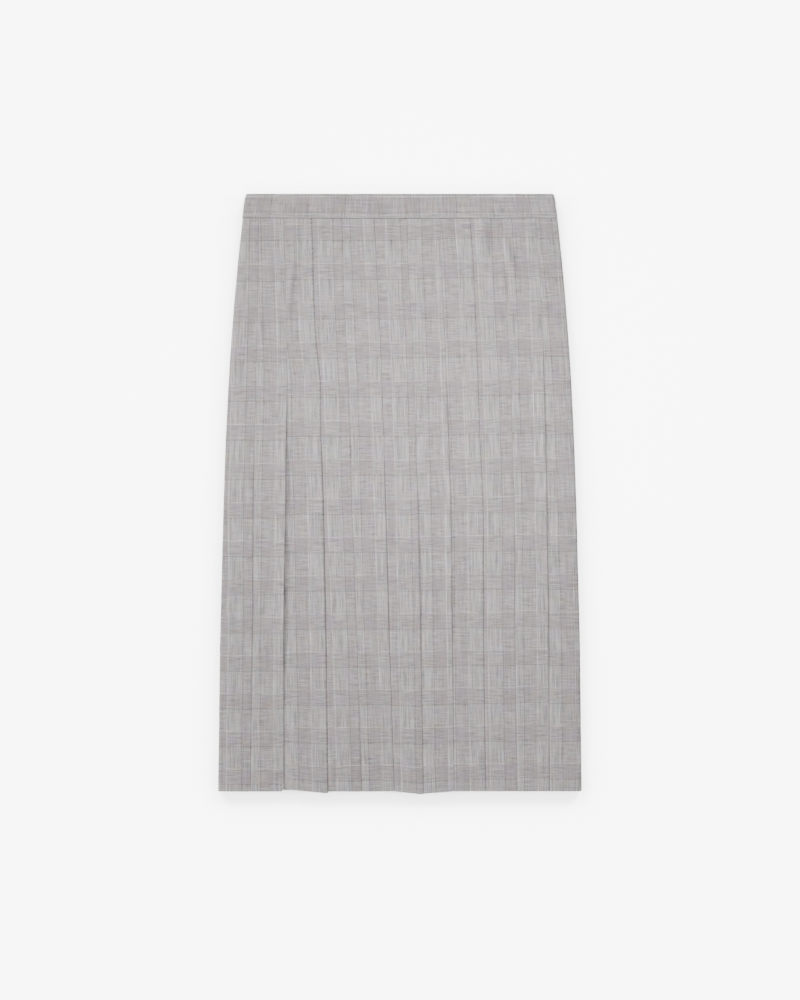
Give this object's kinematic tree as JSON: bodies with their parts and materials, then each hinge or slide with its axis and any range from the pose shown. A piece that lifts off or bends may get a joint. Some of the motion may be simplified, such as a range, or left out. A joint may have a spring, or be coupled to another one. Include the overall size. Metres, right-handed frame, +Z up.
{
  "type": "pleated skirt",
  "caption": "Midi-length knife-pleated skirt in pale grey check cloth with a plain waistband, laid flat with its front on its back.",
  "frame": {"origin": "middle of the laid-out skirt's outline, on the surface that it lies on", "axes": "+X to the right across the front, +Y from the hem to the waist, +Z up from the surface, out of the front"},
  "size_m": [0.443, 0.7337, 0.0097],
  "materials": {
    "front_cloth": "matt woven wool-blend check, pale grey with mauve and beige hints",
    "back_cloth": "matt woven wool-blend check, pale grey with mauve and beige hints",
    "front_band_cloth": "the same check, cut lengthwise",
    "back_band_cloth": "the same check, cut lengthwise",
    "tape": "matt woven tape",
    "slider_metal": "semi-matt grey enamel"
  },
  "bodies": {
    "root": {"front_panel": "front_cloth", "back_panel": "back_cloth", "waistband_front": "front_band_cloth", "waistband_back": "back_band_cloth", "zip_tape": "tape", "zip_slider": "slider_metal"}
  },
  "joints": []
}
